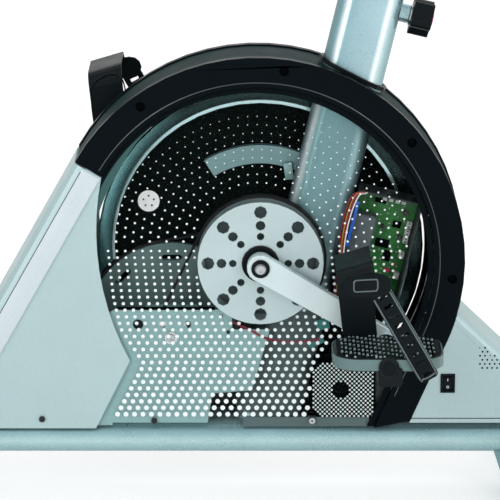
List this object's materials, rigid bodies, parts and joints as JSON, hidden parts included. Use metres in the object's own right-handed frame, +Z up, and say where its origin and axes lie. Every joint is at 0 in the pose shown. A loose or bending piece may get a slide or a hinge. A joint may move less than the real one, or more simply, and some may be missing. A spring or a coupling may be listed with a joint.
{
  "type": "bicycle ergometer",
  "caption": "Stationary bicycle ergometer: belt-driven flywheel in a see-through hoop housing, cranks with strap pedals, saddle on a sliding post, handlebar and console.",
  "frame": {"origin": "on the floor, at the centre of the machine's footprint", "axes": "+Z up, +X to the rear of the machine (towards the saddle's back), +Y to the rider's right"},
  "size_m": [0.9764, 0.524, 1.1539],
  "materials": {
    "silver_paint": "silver metallic paint, slightly speckled",
    "silver_panel": "silver-grey painted cover",
    "black_plastic": "satin black moulding",
    "black_rubber": "matte black",
    "grey_green_plastic": "dark grey-green satin",
    "clear_acrylic": "clear sheet printed with a fine white dot screen",
    "bright_steel": "turned and brushed",
    "cast_aluminium": "satin casting",
    "grey_sheet_metal": "folded sheet, pale grey-green",
    "satin_disc": "satin pale disc",
    "black_disc": "black disc, half gloss",
    "grey_pulley": "grey moulding",
    "green_board": "green solder mask",
    "grey_plastic": "dark grey moulding",
    "black_cushion": "black grained vinyl over foam"
  },
  "bodies": {
    "base": {"base_rail": "silver_paint", "front_rail_cap": "black_plastic", "rear_rail_cap": "black_plastic", "front_foot_tube": "silver_paint", "rear_foot_tube": "silver_paint", "left_front_cap": "black_plastic", "right_front_cap": "black_plastic", "seat_tube": "silver_paint", "seat_tube_sleeve": "black_plastic", "seat_tube_collar": "black_plastic", "casing_band": "grey_green_plastic", "left_trim_ring": "black_plastic", "right_trim_ring": "black_plastic", "front_cover": "silver_panel", "rear_cover": "silver_panel", "left_clear_cover": "clear_acrylic", "right_clear_cover": "clear_acrylic", "switch_bezel": "black_plastic", "mains_inlet": "black_plastic", "drive_bracket": "grey_sheet_metal", "brake_magnet": "cast_aluminium", "first_belt": "black_rubber", "second_belt": "black_rubber", "control_tray": "black_plastic", "circuit_board": "green_board", "power_block": "grey_plastic", "fan_housing": "black_plastic", "front_column": "silver_paint"},
    "crank": {"crank_axle": "bright_steel", "crank_pulley": "grey_pulley", "guard_disc": "satin_disc", "left_crank_arm": "cast_aluminium", "right_crank_arm": "cast_aluminium"},
    "left_foot_pedal": {"left_pedal": "grey_plastic", "left_toe_strap": "black_rubber"},
    "right_foot_pedal": {"right_pedal": "grey_plastic", "right_toe_strap": "black_rubber"},
    "intermediate_shaft": {"layshaft": "bright_steel", "large_pulley": "grey_pulley"},
    "flywheel": {"flywheel_disc": "black_disc", "flywheel_rim": "bright_steel"},
    "fan": {"fan_rotor": "grey_plastic"},
    "power_rocker": {"rocker": "black_plastic"},
    "post": {"seat_post": "bright_steel"},
    "post_knob": {"seat_knob": "black_plastic"},
    "clamp": {"saddle_clamp": "cast_aluminium"},
    "saddle": {"saddle_rails": "bright_steel", "saddle_pan": "black_plastic", "saddle_pad": "black_cushion"},
    "bar": {"handlebar": "black_plastic", "left_grip": "black_rubber", "right_grip": "black_rubber"},
    "bar_lever": {"handlebar_lever": "black_plastic"},
    "display": {"console": "black_plastic"},
    "dial": {"console_dial": "grey_plastic"},
    "left_wheel": {"left_transport_wheel": "black_rubber"},
    "right_wheel": {"right_transport_wheel": "black_rubber"},
    "left_leveller": {"left_level_cap": "black_plastic"},
    "right_leveller": {"right_level_cap": "black_plastic"}
  },
  "joints": [
    {"name": "flywheel_spin", "type": "hinge", "parent": "base", "child": "flywheel", "pos_m": [0.08985, 0, 0.2985], "axis": [0, 1, 0], "continuous": true},
    {"name": "crank_spin", "type": "hinge", "parent": "base", "child": "crank", "pos_m": [0.08985, 0, 0.2985], "axis": [0, 1, 0], "continuous": true},
    {"name": "intermediate_spin", "type": "hinge", "parent": "base", "child": "intermediate_shaft", "pos_m": [-0.01615, 0, 0.2035], "axis": [0, 1, 0], "continuous": true},
    {"name": "left_pedal_spin", "type": "hinge", "parent": "crank", "child": "left_foot_pedal", "pos_m": [0.23633, -0.143, 0.21222], "axis": [0, 1, 0], "continuous": true},
    {"name": "right_pedal_spin", "type": "hinge", "parent": "crank", "child": "right_foot_pedal", "pos_m": [-0.05663, 0.143, 0.38478], "axis": [0, 1, 0], "continuous": true},
    {"name": "fan_spin", "type": "hinge", "parent": "base", "child": "fan", "pos_m": [0.19185, 0, 0.136], "axis": [0, 1, 0], "continuous": true},
    {"name": "power_switch", "type": "hinge", "parent": "base", "child": "power_rocker", "pos_m": [0.31245, -0.041, 0.1497], "axis": [1, 0, 0], "range_deg": [-10, 10]},
    {"name": "post_slide", "type": "slide", "parent": "base", "child": "post", "axis": [0.2317, 0, 0.9728], "range_m": [0, 0.2]},
    {"name": "post_knob_turn", "type": "hinge", "parent": "base", "child": "post_knob", "pos_m": [0.217, 0, 0.59714], "axis": [0.9728, 0, -0.2317], "range_deg": [0, 360]},
    {"name": "saddle_tilt", "type": "hinge", "parent": "post", "child": "clamp", "pos_m": [0.27795, 0, 0.85298], "axis": [0, 1, 0], "range_deg": [-10, 10]},
    {"name": "saddle_slide", "type": "slide", "parent": "clamp", "child": "saddle", "axis": [1, 0, 0], "range_m": [-0.025, 0.025]},
    {"name": "handlebar_tilt", "type": "hinge", "parent": "base", "child": "bar", "pos_m": [-0.29249, 0, 0.9285], "axis": [0, 1, 0], "range_deg": [-25, 25]},
    {"name": "handlebar_lever_turn", "type": "hinge", "parent": "base", "child": "bar_lever", "pos_m": [-0.31249, -0.028, 0.8835], "axis": [0, 1, 0], "range_deg": [0, 60]},
    {"name": "console_tilt", "type": "hinge", "parent": "base", "child": "display", "pos_m": [-0.34449, 0, 1.0135], "axis": [0, 1, 0], "range_deg": [-12, 12]},
    {"name": "dial_turn", "type": "hinge", "parent": "display", "child": "dial", "pos_m": [-0.30123, 0.075, 1.05086], "axis": [0.8191, 0, 0.5736], "range_deg": [0, 300]},
    {"name": "left_wheel_roll", "type": "hinge", "parent": "base", "child": "left_wheel", "pos_m": [-0.46715, -0.231, 0.025], "axis": [0, 1, 0], "continuous": true},
    {"name": "right_wheel_roll", "type": "hinge", "parent": "base", "child": "right_wheel", "pos_m": [-0.46715, 0.231, 0.025], "axis": [0, 1, 0], "continuous": true},
    {"name": "left_level_turn", "type": "hinge", "parent": "base", "child": "left_leveller", "pos_m": [0.41985, -0.2375, 0.029], "axis": [0, 1, 0], "range_deg": [0, 180]},
    {"name": "right_level_turn", "type": "hinge", "parent": "base", "child": "right_leveller", "pos_m": [0.41985, 0.2375, 0.029], "axis": [0, 1, 0], "range_deg": [0, 180]}
  ],
  "couplings": [
    {"joint": "crank_spin", "follows": "flywheel_spin", "ratio": 0.074851},
    {"joint": "intermediate_spin", "follows": "flywheel_spin", "ratio": 0.26733}
  ]
}
